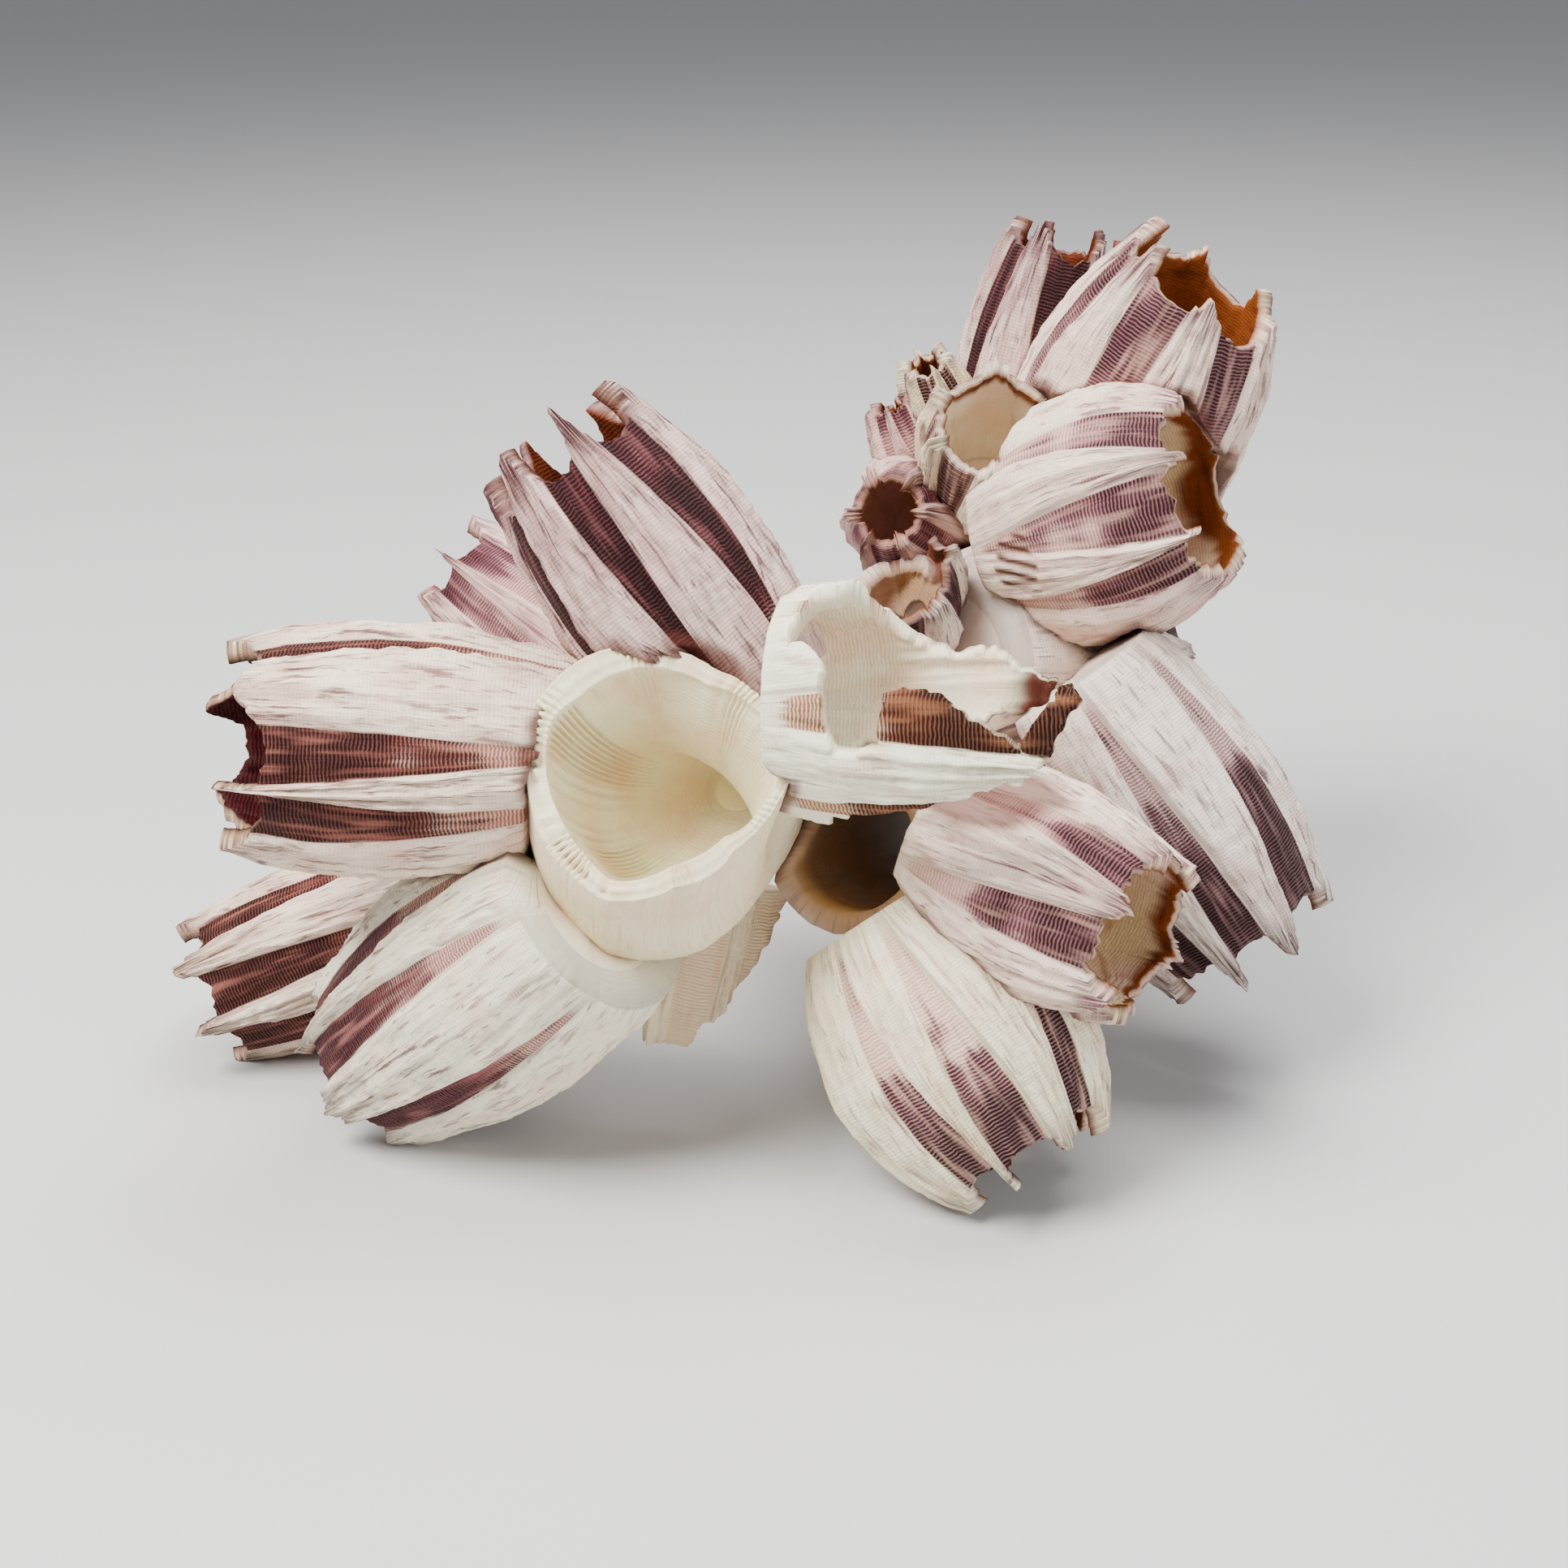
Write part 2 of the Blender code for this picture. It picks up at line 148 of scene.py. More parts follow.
class Shell:
    """One shell: its axis from base to mouth, its widths, where its radii lie, and its looks.

    widths are the radius at the foot, the belly and the mouth; belly and every other height is a
    share of the axis. tip, notch and lean shape the rim. standing and missing list, by height, the
    angles between which a broken wall is there or gone. hollow is the cup's deep point and widths.
    """

    def __init__(self, name, base, mouth, widths, radii=EVEN, belly=0.5, bow=(0, 0, 0), tip=0.04,
                 notch=0.06, lean=(0, 0), standing=None, missing=None, open_base=False, hollow=None,
                 spread=SPREAD, groove=0.5, look="cream", detail=2, ribs=(3, 6), seed=1, jag=0.9,
                 thin=0.8, rust=0.66, marks=()):
        self.name = name
        self.base = np.array(base, float)
        self.axis = unit(np.array(mouth, float) - self.base)
        self.length = float(np.linalg.norm(np.array(mouth, float) - self.base))
        self.widths = widths
        self.belly = belly
        self.bow = np.array(bow, float) - np.dot(bow, self.axis) * self.axis
        ordered = sorted((math.radians(a % 360), math.radians(w)) for a, w in radii)
        self.here = np.array([a for a, w in ordered])
        self.width = np.array([w for a, w in ordered]) * WIDER
        self.tip = tip
        self.notch = notch
        self.lean = lean
        self.standing = standing
        self.missing = missing
        self.open_base = open_base
        self.hollow = hollow
        self.spread = spread
        self.groove = groove
        self.look = look
        self.detail = detail
        self.ribs = ribs
        self.seed = seed
        self.jag = jag
        self.thin = thin
        self.rust = rust
        self.marks = marks
        self.front = unit(FACING - np.dot(FACING, self.axis) * self.axis)
        self.side = np.cross(self.axis, self.front)

    def centre(self, s):
        s = np.asarray(s, float)[..., None]
        return self.base + s * self.length * self.axis + self.bow * np.sin(np.pi * np.clip(s, 0, 1))

    def radius(self, s):
        foot, belly, mouth = self.widths
        b = self.belly
        s = np.clip(s, -0.1, 1.25)
        return (foot * (s - b) * (s - 1) / b + belly * s * (s - 1) / (b * (b - 1))
                + mouth * s * (s - b) / (1 - b))

    def direction(self, angle):
        angle = np.asarray(angle, float)[..., None]
        return np.cos(angle) * self.front + np.sin(angle) * self.side

    def polar(self, points):
        """Height, angle and distance from the axis of points in space."""
        s = (points - self.base) @ self.axis / self.length
        away = points - self.centre(s)
        away = away - (away @ self.axis)[..., None] * self.axis
        angle = np.arctan2(away @ self.side, away @ self.front)
        return s, angle, np.linalg.norm(away, axis=-1)

    def depth(self, points):
        """How far points lie inside the filled-in shell; negative outside."""
        s, angle, away = self.polar(points)
        rise = s * self.length
        depth = self.radius(s) + RIDGE - away
        depth = np.minimum(depth, rise + EDGE_MARGIN)
        return np.minimum(depth, (TOP_MARGIN - s) * self.length)

    def line_angle(self, plate, place, s):
        count = len(self.here)
        after = (plate + 1) % count
        turn = math.tau * (plate + 1 == count)
        growth = self.spread + (1 - self.spread) * np.clip(s, 0, 1) ** 1.2
        left = self.here[plate] + 0.5 * self.width[plate] * growth
        right = self.here[after] + turn - 0.5 * self.width[after] * growth
        radius_angle = self.here[plate] + 0.5 * self.width[plate] * growth * place
        paries_angle = left + (right - left) * 0.5 * (place - 1)
        return np.where(place <= 1, radius_angle, paries_angle)


def deepest(points, others):
    """The greatest depth of the points in any of the other shells."""
    depth = np.full(points.shape[:-1], -99.0)
    for other in others:
        near = np.linalg.norm(points - other.centre(0.5), axis=-1)
        if near.min() < other.length * 0.5 + max(other.widths) + 8:
            depth = np.maximum(depth, other.depth(points))
    return depth


def freed(points, centres, others):
    """Points pulled towards their own axis until they only touch the other shells."""
    low = np.full(points.shape[:-1], 0.55)
    high = np.ones_like(low)
    hit = deepest(points, others) > TOUCH
    if not hit.any():
        return points
    for step in range(8):
        middle = 0.5 * (low + high)
        bad = deepest(centres + (points - centres) * middle[..., None], others) > TOUCH
        high = np.where(bad, middle, high)
        low = np.where(bad, low, middle)
    share = np.where(hit, low, 1.0)
    for step in range(3):
        share = np.minimum(share, 0.5 * (np.roll(share, 1, 1) + np.roll(share, -1, 1)) + 0.02)
        share[1:-1] = np.minimum(share[1:-1], 0.5 * (share[2:] + share[:-2]) + 0.02)
    return centres + (points - centres) * share[..., None]


def foot_heights(shell, plate, place, reach, others):
    """Where lines at a share of the radius leave the shells that this one grew on."""
    s = np.linspace(0.0, BASE_SEARCH, 46)[:, None] + np.zeros(len(plate))
    angle = shell.line_angle(plate, place, s)
    points = shell.centre(s) + (reach * shell.radius(s))[..., None] * shell.direction(angle)
    covered = deepest(points, others) > EMBED
    last = np.where(covered.any(0), len(s) - 1 - np.argmax(covered[::-1], axis=0), -1)
    low = np.where(last >= 0, s[np.maximum(last, 0), 0], 0.0)
    high = np.where(last >= 0, low + s[1, 0], 0.0)
    for step in range(6):
        middle = 0.5 * (low + high)
        angle = shell.line_angle(plate, place, middle)
        points = (shell.centre(middle)
                  + (reach * shell.radius(middle))[:, None] * shell.direction(angle))
        bad = deepest(points, others) > EMBED
        low = np.where(bad, middle, low)
        high = np.where(bad, high, middle)
    foot = high
    for step in range(4):
        foot = 0.5 * foot + 0.25 * (np.roll(foot, 1) + np.roll(foot, -1))
    return foot


def columns(shell):
    """Plate number and place on the plate of every line up the wall."""
    across, along = LINES[shell.detail - 1]
    edge = np.linspace(-1, 1, across, endpoint=False)
    edge = np.sign(edge) * np.abs(edge) ** 0.75
    middle = 1 + 2 * np.linspace(0, 1, along, endpoint=False)
    place = np.concatenate([edge, middle])
    count = len(shell.here)
    return np.repeat(np.arange(count), len(place)), np.tile(place, count)


def rib_field(shell, plate, v, s):
    """Rounded ribs up each plate, which run together towards its tip; 0 to about 1."""
    rng = np.random.default_rng(shell.seed * 101 + 7)
    total = np.zeros(np.broadcast(v, s).shape)
    for number in range(len(shell.here)):
        count = rng.integers(*shell.ribs)
        places = np.linspace(-0.86, 0.86, count) + rng.uniform(-0.16, 0.16, count)
        heights = rng.uniform(0.35, 1.0, count)
        sizes = rng.uniform(0.10, 0.24, count)
        starts = rng.uniform(-0.3, 0.35, count)
        here = (plate == number)
        for place, height, size, start in zip(places, heights, sizes, starts):
            wander = 0.07 * np.sin(5 * s + 9 * place)
            rib = height * np.exp(-((v - place - wander) / size) ** 2)
            total = np.maximum(total, here * rib * soft(start - 0.15, start + 0.25, s))
    return total


def wall_relief(shell, plate, place, s, points):
    """How far the outer wall stands out from its barrel, and the masks that the colours use, painted crease
    shade among them.
    """
    in_radius = place <= 1
    w = np.where(in_radius, place, 1.0)
    v = np.where(in_radius, 0.0, place - 2)
    grow = np.clip(s, 0, 1) ** 0.6
    trough = soft(0.0, 0.3, 1 - np.abs(w)) * in_radius * soft(0.02, 0.2, s)
    dome = (1 - v ** 2) ** 0.6 * ~in_radius
    ribs = rib_field(shell, plate, v, s) * ~in_radius
    height = s * shell.length
    lumps = noise(points, 6.0, shell.seed) * 0.35 + noise(points, 2.3, shell.seed + 3) * 0.14
    wander = 0.25 * line_noise(place * 2 + plate * 17, height * 0.22, shell.seed + 4)
    fine = line_noise((place + wander) * 19 + plate * 57, height * 0.13, shell.seed + 5)
    folds = 1 - 2 * np.abs(line_noise((place + wander) * 6.5 + plate * 23, height * 0.09, shell.seed + 6))
    terrace = np.abs(line_noise(place * 1.8 + plate * 31, height * 0.8 + fine * 0.25, shell.seed + 9))
    striation = np.sin(height * math.tau / STRIA + 1.2 * w * w + 2 * fine)
    flat = np.where(in_radius, 0.35, 1.0)
    out = RIDGE * dome * (0.35 + 0.65 * grow) + 0.75 * ribs * (0.3 + 0.7 * grow)
    crease = 0.16 * fine + 0.34 * folds - 0.22 * terrace
    # Painted shade: the plates are darkened in their creases and between their ribs
    crease_shade = soft(0.12, -0.22, crease + 0.5 * ribs) * ~in_radius
    out += flat * lumps + ~in_radius * crease
    out -= shell.groove * trough * grow
    out += in_radius * trough * (0.05 * striation + 0.3 * (1 - w ** 2) * grow)
    edge = np.exp(-((np.abs(w) - 0.93) / 0.07) ** 2) * in_radius
    out -= 0.25 * edge * grow
    return out, trough, ribs, crease_shade


def rim_heights(shell, plate, place):
    """The jagged rim: a tip on each plate, smaller tips on its ribs, a dip at each radius."""
    reach = np.where(place <= 1, 0.30 * np.abs(place) ** 1.5, 0.30 + 0.70 * (1 - np.abs(place - 2)))
    tip = shell.tip * (1 + 0.5 * np.sin(2.4 * plate + 3 * shell.length))
    angle = shell.line_angle(plate, place, 1.0)
    lean, towards = shell.lean
    tilt = lean * np.cos(angle - math.radians(towards))
    base = 1 - shell.notch + (shell.notch + tip) * reach ** 1.3 + tilt
    ring = angle * 9
    ragged = line_noise(ring, np.full_like(ring, 0.5 * shell.seed), 11)
    spikes = np.abs(line_noise(ring * 2.6, np.full_like(ring, 1.5 * shell.seed), 13))
    chips = np.maximum(0, line_noise(ring * 0.7, np.full_like(ring, 2.5 * shell.seed), 17) - 0.25)
    ribs = rib_field(shell, plate, np.where(place <= 1, 9.0, place - 2), np.ones_like(place))
    jag = 0.5 * ragged + 0.8 * spikes + 0.9 * ribs * (place > 1) - 1.8 * chips
    return base + shell.jag * jag / shell.length


def wall_rows(shell, others, foot, rim, t, plate, place):
    """Points and colour masks of the outer wall at shares t of the way from foot to rim."""
    s = foot + (rim - foot) * t[:, None]
    angle = shell.line_angle(plate, place, s)
    radius = shell.radius(s)
    centres = shell.centre(s)
    plain = centres + radius[..., None] * shell.direction(angle)
    relief, trough, ribs, crease_shade = wall_relief(shell, plate, place, s, plain)
    if shell.hollow is not None:
        relief = cup_outer(shell, angle, s, plain)
        trough = np.zeros_like(trough)
        crease_shade = 0.0 * crease_shade
    ends = soft(0.0, 0.06, t)[:, None]
    relief = relief * (0.4 + 0.6 * ends)
    points = centres + (radius + relief)[..., None] * shell.direction(angle)
    points = freed(points, centres, others)
    return s, angle, centres, points, {"trough": trough, "ribs": ribs, "crease_shade": crease_shade}


# The cup's outline and the width of its rim, as (angle, millimetres) measured in the photo
CUP_OUTLINE = ((-180, 14.7), (-154, 14.1), (-124, 13.8), (-104, 14.2), (-70, 11.6), (-31, 10.9), (-1, 12.9),
               (14, 14.0), (29, 15.0), (46, 13.5), (73, 12.3), (99, 13.5), (143, 14.8), (163, 15.5),
               (180, 14.7))
CUP_LIP = ((-180, 2.5), (-146, 2.9), (-100, 2.5), (-56, 2.2), (-20, 1.4), (20, 1.3), (60, 1.4), (97, 2.2),
           (148, 3.2), (180, 2.5))


def around(table, angle):
    degrees = (np.degrees(angle) + 180) % 360 - 180
    angles, values = zip(*table)
    return np.interp(degrees, angles, values)


def cup_outer(shell, angle, s, points):
    """The cup's wall swells to its measured outline at the rim and is smooth with fine lines."""
    outline = around(CUP_OUTLINE, angle) - shell.widths[2]
    share = soft(0.35, 1.0, s)
    fine = line_noise(np.degrees(angle) / 1.9, s * 3, 5)
    rings = line_noise(np.degrees(angle) / 30, s * shell.length * 1.2, 6)
    return outline * share + 0.09 * fine + 0.10 * rings + 0.4 * noise(points, 7.0, 4)


def inner_rows(shell, plate, place, centres, outer, s, share):
    """Points of the inner wall: a sheath with growth lines near the mouth, ribs below it."""
    away = outer - centres
    reach = np.linalg.norm(away, axis=-1)
    aim = away / reach[..., None]
    smooth = shell.radius(s)
    wall = FOOT_WALL + (shell.thin - FOOT_WALL) * share
    angle = shell.line_angle(plate, place, s)
    height = s * shell.length
    sheath = soft(0.56, 0.60, share)
    grooves = 0.10 * np.sin(height * math.tau / SHEATH_STRIA + 2 * line_noise(angle * 3, height * 0.2, 3))
    lines = 0.16 * line_noise(np.degrees(angle) / 3.4, height * 0.05, 8)
    detail = -0.35 * sheath + sheath * grooves + (1 - sheath) * lines
    radius = np.minimum(smooth * 0.25 + reach * 0.75 - wall, reach - 0.42) - 0.18 + detail * 0.8
    radius = np.minimum(radius, reach - 0.3)
    return centres + aim * np.maximum(radius, 0.25 * reach)[..., None]


def cup_inner(shell, plate, place, share):
    """The cup's inner wall: from the deep point to the measured lip, with fine ribs."""
    deep, deep_radius, middle_radius = shell.hollow
    deep = np.array(deep)
    angle = shell.line_angle(plate, place, np.ones_like(share))
    lip = around(CUP_OUTLINE, angle) - around(CUP_LIP, angle)
    bulge = middle_radius - 0.5 * (deep_radius + lip)
    radius = deep_radius + share * (lip - deep_radius) + 4 * bulge * share * (1 - share)
    left = soft(-0.3, 0.6, -np.cos(angle - math.radians(20)))
    rib = np.sin(angle * 110 + 1.2 * line_noise(angle * 5, share * 3, 21))
    amount = (0.10 + 0.36 * left) * soft(0.15, 0.75, share) * soft(1.0, 0.93, share)
    middle = deep + share[..., None] * (shell.centre(1.0) - deep)
    middle = middle + np.array([-1.0, 0.0, -2.6]) * np.sin(np.pi * share)[..., None]
    points = middle + radius[..., None] * shell.direction(angle)
    points = points + (amount * rib + 0.25 * noise(points, 6.0, 31))[..., None] * shell.direction(angle)
    s, where, away = shell.polar(points)
    swell = (around(CUP_OUTLINE, where) - shell.widths[2]) * soft(0.35, 1.0, s)
    limit = shell.radius(s) + swell - 1.5
    short = np.minimum(1.0, limit / np.maximum(away, 0.1))
    short = np.maximum(short, soft(0.7, 1.0, share))
    axis_point = shell.centre(s)
    return axis_point + (points - axis_point) * short[..., None]


class Grid:
    """Rows of points round a shell, with the colour masks of every point."""

    def __init__(self, count):
        self.count = count
        self.points = []
        self.masks = []

    def add(self, points, **masks):
        for row in range(len(points)):
            self.points.append(points[row])
            self.masks.append({key: np.broadcast_to(value[row], self.count) if np.ndim(value) else
                               np.full(self.count, float(value)) for key, value in masks.items()})


MASKS = ("inside", "trough", "dark", "ribs", "crease_shade", "height", "place", "rust", "contact_shade", "rise", "mark")


def marked(shell, points):
    """Striped oval scars: each a place, a width, a height and a strength."""
    total = np.zeros(points.shape[:-1])
    for x, z, wide, high, strength in shell.marks:
        across = (points[..., 0] - x) / wide
        up = (points[..., 2] - z) / high
        away = np.hypot(across, up) + 0.25 * noise(points, 1.6, 71)
        stripes = 0.5 + 0.5 * np.sin(up * high * math.tau / SCAR_STRIPE)
        total = np.maximum(total, strength * soft(1.05, 0.85, away) * stripes)
    return total


def colour_masks(shell, plate, place, s, points, relief, others, inside, share):
    """Where a wall is purple, rusty or stained, and where it is painted darker as shade next to the shells
    it grew on; the materials read these masks.
    """
    flat = np.zeros_like(s)
    height = s * shell.length
    band = line_noise(height * 0.42, plate * 7.3 + flat, shell.seed + 40)
    slow = line_noise(height * 0.13, plate * 3.1 + flat, shell.seed + 41)
    patch = noise(points, 5.0, shell.seed + 42)
    start = LOOKS[shell.look]["start"]
    dark = soft(start - 0.3, start + 0.3, s + 0.14 * slow) * 0.9 + 0.26 * band + 0.2 * patch
    rust = inside * soft(shell.rust - 0.06, shell.rust + 0.06, share + 0.05 * patch)
    if shell.hollow is not None and inside:
        away = np.linalg.norm((points - STAIN_PLACE) / STAIN_SIZE, axis=-1)
        stripes = np.sin((points[..., 0] - 0.8 * points[..., 2]) * 4.2 + 2 * patch)
        rust = soft(1.0, 0.4, away + 0.2 * patch) * soft(-0.6, 0.8, stripes)
    # Painted shade: the outer wall darkens within about a millimetre of the shells it grew on
    contact_shade = soft(-1.1, 0.1, deepest(points, others)) * (1 - inside)
    masks = {"inside": inside + flat, "dark": np.clip(dark, 0, 1.2), "height": height, "rust": rust,
             "place": place + 4 * plate + flat, "contact_shade": contact_shade, "rise": s, "mark": marked(shell, points)}
    for key in ("trough", "ribs", "crease_shade"):
        masks[key] = relief[key] + flat if relief else flat
    return masks


def shell_grid(shell, others):
    """All rows of a closed shell, from the middle of its base to the middle of its floor."""
    plate, place = columns(shell)
    steps = OUTER_ROWS[shell.detail - 1]
    inner_steps = INNER_ROWS[shell.detail - 1]
    foot = foot_heights(shell, plate, place, FOOT_REACH, others)
    rim = np.maximum(rim_heights(shell, plate, place), foot + LEAST_RISE)
    if shell.hollow is not None:
        rim = cup_rim(shell, plate, place)
    grid = Grid(len(plate))
    if not shell.open_base:
        for reach in (0.3, 0.65):
            low = foot_heights(shell, plate, place, reach, others)
            ring = shell.centre(low) + (reach * shell.radius(low))[:, None] * shell.direction(
                shell.line_angle(plate, place, low))
            grid.add(ring[None], **{key: 0.0 for key in MASKS})
    t = np.linspace(0, 1, steps + 1) ** 0.92
    s, _, _, outer, relief = wall_rows(shell, others, foot, rim, t, plate, place)
    grid.add(outer, **colour_masks(shell, plate, place, s, outer, relief, others, 0.0, s))
    floor = np.minimum(foot + FLOOR / shell.length, foot + 0.5 * (rim - foot))
    if shell.open_base:
        floor = foot
    share = np.linspace(1, 0, inner_steps + 1)
    inner_s = floor + (rim - 0.25 / shell.length - floor) * share[:, None]
    centres, behind = wall_behind(shell, others, inner_s, plate, place)
    wide = share[:, None] + np.zeros_like(inner_s)
    if shell.hollow is not None:
        inner = cup_inner(shell, plate, place, wide)
        inner = inner + ((rim - 1.0) * shell.length * soft(0.6, 1.0, wide))[..., None] * shell.axis
        lip = cup_lip(shell, outer[-1], inner[0], plate, place)
    else:
        inner = inner_rows(shell, plate, place, centres, behind, inner_s, wide)
        lip = (0.5 * (outer[-1] + inner[0]) + 0.12 * shell.axis)[None]
    flags = {key: 0.0 for key in MASKS}
    for row, ring in enumerate(lip):
        edge = {"inside": 0.5, "rise": 1.0, "height": shell.length, "place": place + 4 * plate,
                "dark": 0.5 + np.zeros(len(plate)), "trough": 0.5 * (place <= 1)}
        if shell.hollow is not None:
            edge["inside"] = 1.0
            edge["trough"] = 0.0
        grid.add(ring[None], **{key: np.reshape(value, (1, -1)) if np.ndim(value) else value
                                for key, value in {**flags, **edge}.items()})
    grid.add(inner, **colour_masks(shell, plate, place, inner_s, inner, None, [], 1.0, wide))
    if not shell.open_base:
        if shell.hollow is not None:
            deep = np.array(shell.hollow[0])
            for reach in (0.65, 0.3):
                ring = deep + reach * (inner[-1] - deep)
                grid.add(ring[None], **{**flags, "inside": 1.0})
        else:
            for reach in (0.6, 0.3):
                low = foot_heights(shell, plate, place, reach, others) + FLOOR / shell.length
                ring = shell.centre(low) + (reach * shell.radius(low))[:, None] * shell.direction(
                    shell.line_angle(plate, place, low))
                grid.add(ring[None], **{**flags, "inside": 1.0})
    return grid


def wall_behind(shell, others, s, plate, place):
    """The axis and the plain outer wall behind the inner one."""
    angle = shell.line_angle(plate, place, s)
    trough = soft(0.0, 0.3, 1 - np.abs(place)) * (place <= 1)
    radius = shell.radius(s) - shell.groove * trough * np.clip(s, 0, 1) ** 0.6
    centres = shell.centre(s)
    points = centres + radius[..., None] * shell.direction(angle)
    return centres, freed(points, centres, others)


def cup_rim(shell, plate, place):
    """Height of the cup's rim: fine teeth over a slow rise and fall."""
    angle = shell.line_angle(plate, place, np.ones(len(place)))
    teeth = np.abs(np.sin(angle * 60 + 0.8 * line_noise(angle * 6, angle * 0, 51)))
    slow = line_noise(angle * 2.2, angle * 0, 52)
    return 1 + (0.22 * teeth + 0.55 * slow) / shell.length


def cup_lip(shell, outer, inner, plate, place):
    """Rings across the thick rim: an outer bead, a groove with pores, an inner bead."""
    angle = shell.line_angle(plate, place, np.ones(len(place)))
    left = soft(-0.2, 0.5, -np.cos(angle - math.radians(10)))
    rings = []
    for across in (0.12, 0.25, 0.38, 0.5, 0.62, 0.75, 0.88):
        base = outer + (inner - outer) * across
        pore = np.maximum(0, np.sin(angle * 105 + 0.9 * line_noise(angle * 7, angle * 0, 53)))
        bead = 0.26 * math.sin(math.pi * across) + 0.15 * math.cos(4 * math.pi * (across - 0.5)) - 0.12
        dip = -(0.15 + 0.60 * left) * pore * math.exp(-((across - 0.45) / 0.2) ** 2)
        rings.append(base + (bead * (0.5 + 0.6 * left) + dip)[:, None] * shell.axis)
    return rings


def grid_mesh(shell, grid):
    """The closed mesh of a grid: quads between rows, fans at the two ends or one wrapped round."""
    count = grid.count
    rows = len(grid.points)
    points = np.concatenate(grid.points)
    quads = []
    n = np.arange(count)
    m = (n + 1) % count
    last = rows if shell.open_base else rows - 1
    for row in range(last):
        a = row * count
        b = ((row + 1) % rows) * count
        quads.append(np.stack([a + n, a + m, b + m, b + n], axis=1))
    faces = np.concatenate(quads).tolist()
    masks = {key: np.concatenate([mask[key] for mask in grid.masks]) for key in MASKS}
    if not shell.open_base:
        points = np.vstack([points, grid.points[0].mean(0), grid.points[-1].mean(0)])
        masks = {key: np.append(value, [value[0], value[-1]]) for key, value in masks.items()}
        low = rows * count
        top = (rows - 1) * count
        faces += np.stack([m, n, np.full(count, low)], axis=1).tolist()
        faces += np.stack([top + n, top + m, np.full(count, low + 1)], axis=1).tolist()
    return points, faces, masks


def stands(shell, angle, s):
    """Whether a broken shell's wall is still there, with a ragged edge."""
    heights, starts, ends = zip(*shell.standing)
    degrees = np.degrees(angle)
    ragged = (3.0 * line_noise(s * 16, degrees * 0 + shell.seed, 61)
              + 2.0 * line_noise(s * 45, degrees * 0, 62))
    moved = s + 0.014 * line_noise(degrees / 9, degrees * 0 + 0.7, 63) + 0.008 * line_noise(
        degrees / 2.5, degrees * 0 + 1.7, 64)
    start = np.interp(moved, heights, starts) + ragged
    end = np.interp(moved, heights, ends) - ragged
    kept = (degrees - start) % 360 <= end - start
    if shell.missing is not None:
        heights, starts, ends = zip(*shell.missing)
        start = np.interp(moved, heights, starts) + ragged
        end = np.interp(moved, heights, ends) - ragged
        kept &= (degrees % 360 < start) | (degrees % 360 > end)
    return kept


def broken_mesh(shell, others):
    """A shell of which only part stands: kept cells of the two walls, joined along every break."""
    plate, place = columns(shell)
    steps = OUTER_ROWS[shell.detail - 1]
    count = len(plate)
    foot = foot_heights(shell, plate, place, FOOT_REACH, others)
    rim = np.maximum(rim_heights(shell, plate, place), foot + LEAST_RISE)
    t = np.linspace(0, 1, steps + 1)
    s, angle, centres, outer, relief = wall_rows(shell, others, foot, rim, t, plate, place)
    share = t[:, None] + np.zeros_like(s)
    inner = inner_rows(shell, plate, place, centres, outer, s, share)
    masks = colour_masks(shell, plate, place, s, outer, relief, others, 0.0, s)
    inner_masks = colour_masks(shell, plate, place, s, inner, None, [], 1.0, share)
    here = angle[:-1] * 0.5 + angle[1:] * 0.5
    kept = stands(shell, here, 0.5 * (s[:-1] + s[1:]))
    kept = largest_piece(kept)
    top = (steps + 1) * count
    faces = []
    for row in range(steps):
        for n in np.nonzero(kept[row])[0]:
            m = (n + 1) % count
            a, b, c, d = row * count + n, row * count + m, (row + 1) * count + m, (row + 1) * count + n
            faces.append((a, b, c, d))
            faces.append((top + d, top + c, top + b, top + a))
            if row == steps - 1 or not kept[row + 1, n]:
                faces.append((d, c, top + c, top + d))
            if row == 0 or not kept[row - 1, n]:
                faces.append((b, a, top + a, top + b))
            if not kept[row, (n - 1) % count]:
                faces.append((a, d, top + d, top + a))
            if not kept[row, m]:
                faces.append((c, b, top + b, top + c))
    points = np.concatenate([outer.reshape(-1, 3), inner.reshape(-1, 3)])
    merged = {key: np.concatenate([np.ravel(masks[key] + 0 * s), np.ravel(inner_masks[key] + 0 * s)])
              for key in MASKS}
    points = eased(points, kept, count, steps)
    used = np.unique(np.array(faces).ravel())
    renumber = np.full(len(points), -1)
    renumber[used] = np.arange(len(used))
    faces = renumber[np.array(faces)].tolist()
    return points[used], faces, {key: value[used] for key, value in merged.items()}


def largest_piece(kept):
    """Keeps the cells that hang together with the most others, so no crumb floats free."""
    label = np.arange(1, kept.size + 1).reshape(kept.shape) * kept
    for step in range(kept.shape[0] + kept.shape[1]):
        old = label
        label = np.maximum(label, np.roll(label, 1, 1))
        label = np.maximum(label, np.roll(label, -1, 1))
        label[1:] = np.maximum(label[1:], label[:-1])
        label[:-1] = np.maximum(label[:-1], label[1:])
        label = label * kept
        if (label == old).all():
            break
    names, sizes = np.unique(label[label > 0], return_counts=True)
    return label == names[np.argmax(sizes)]


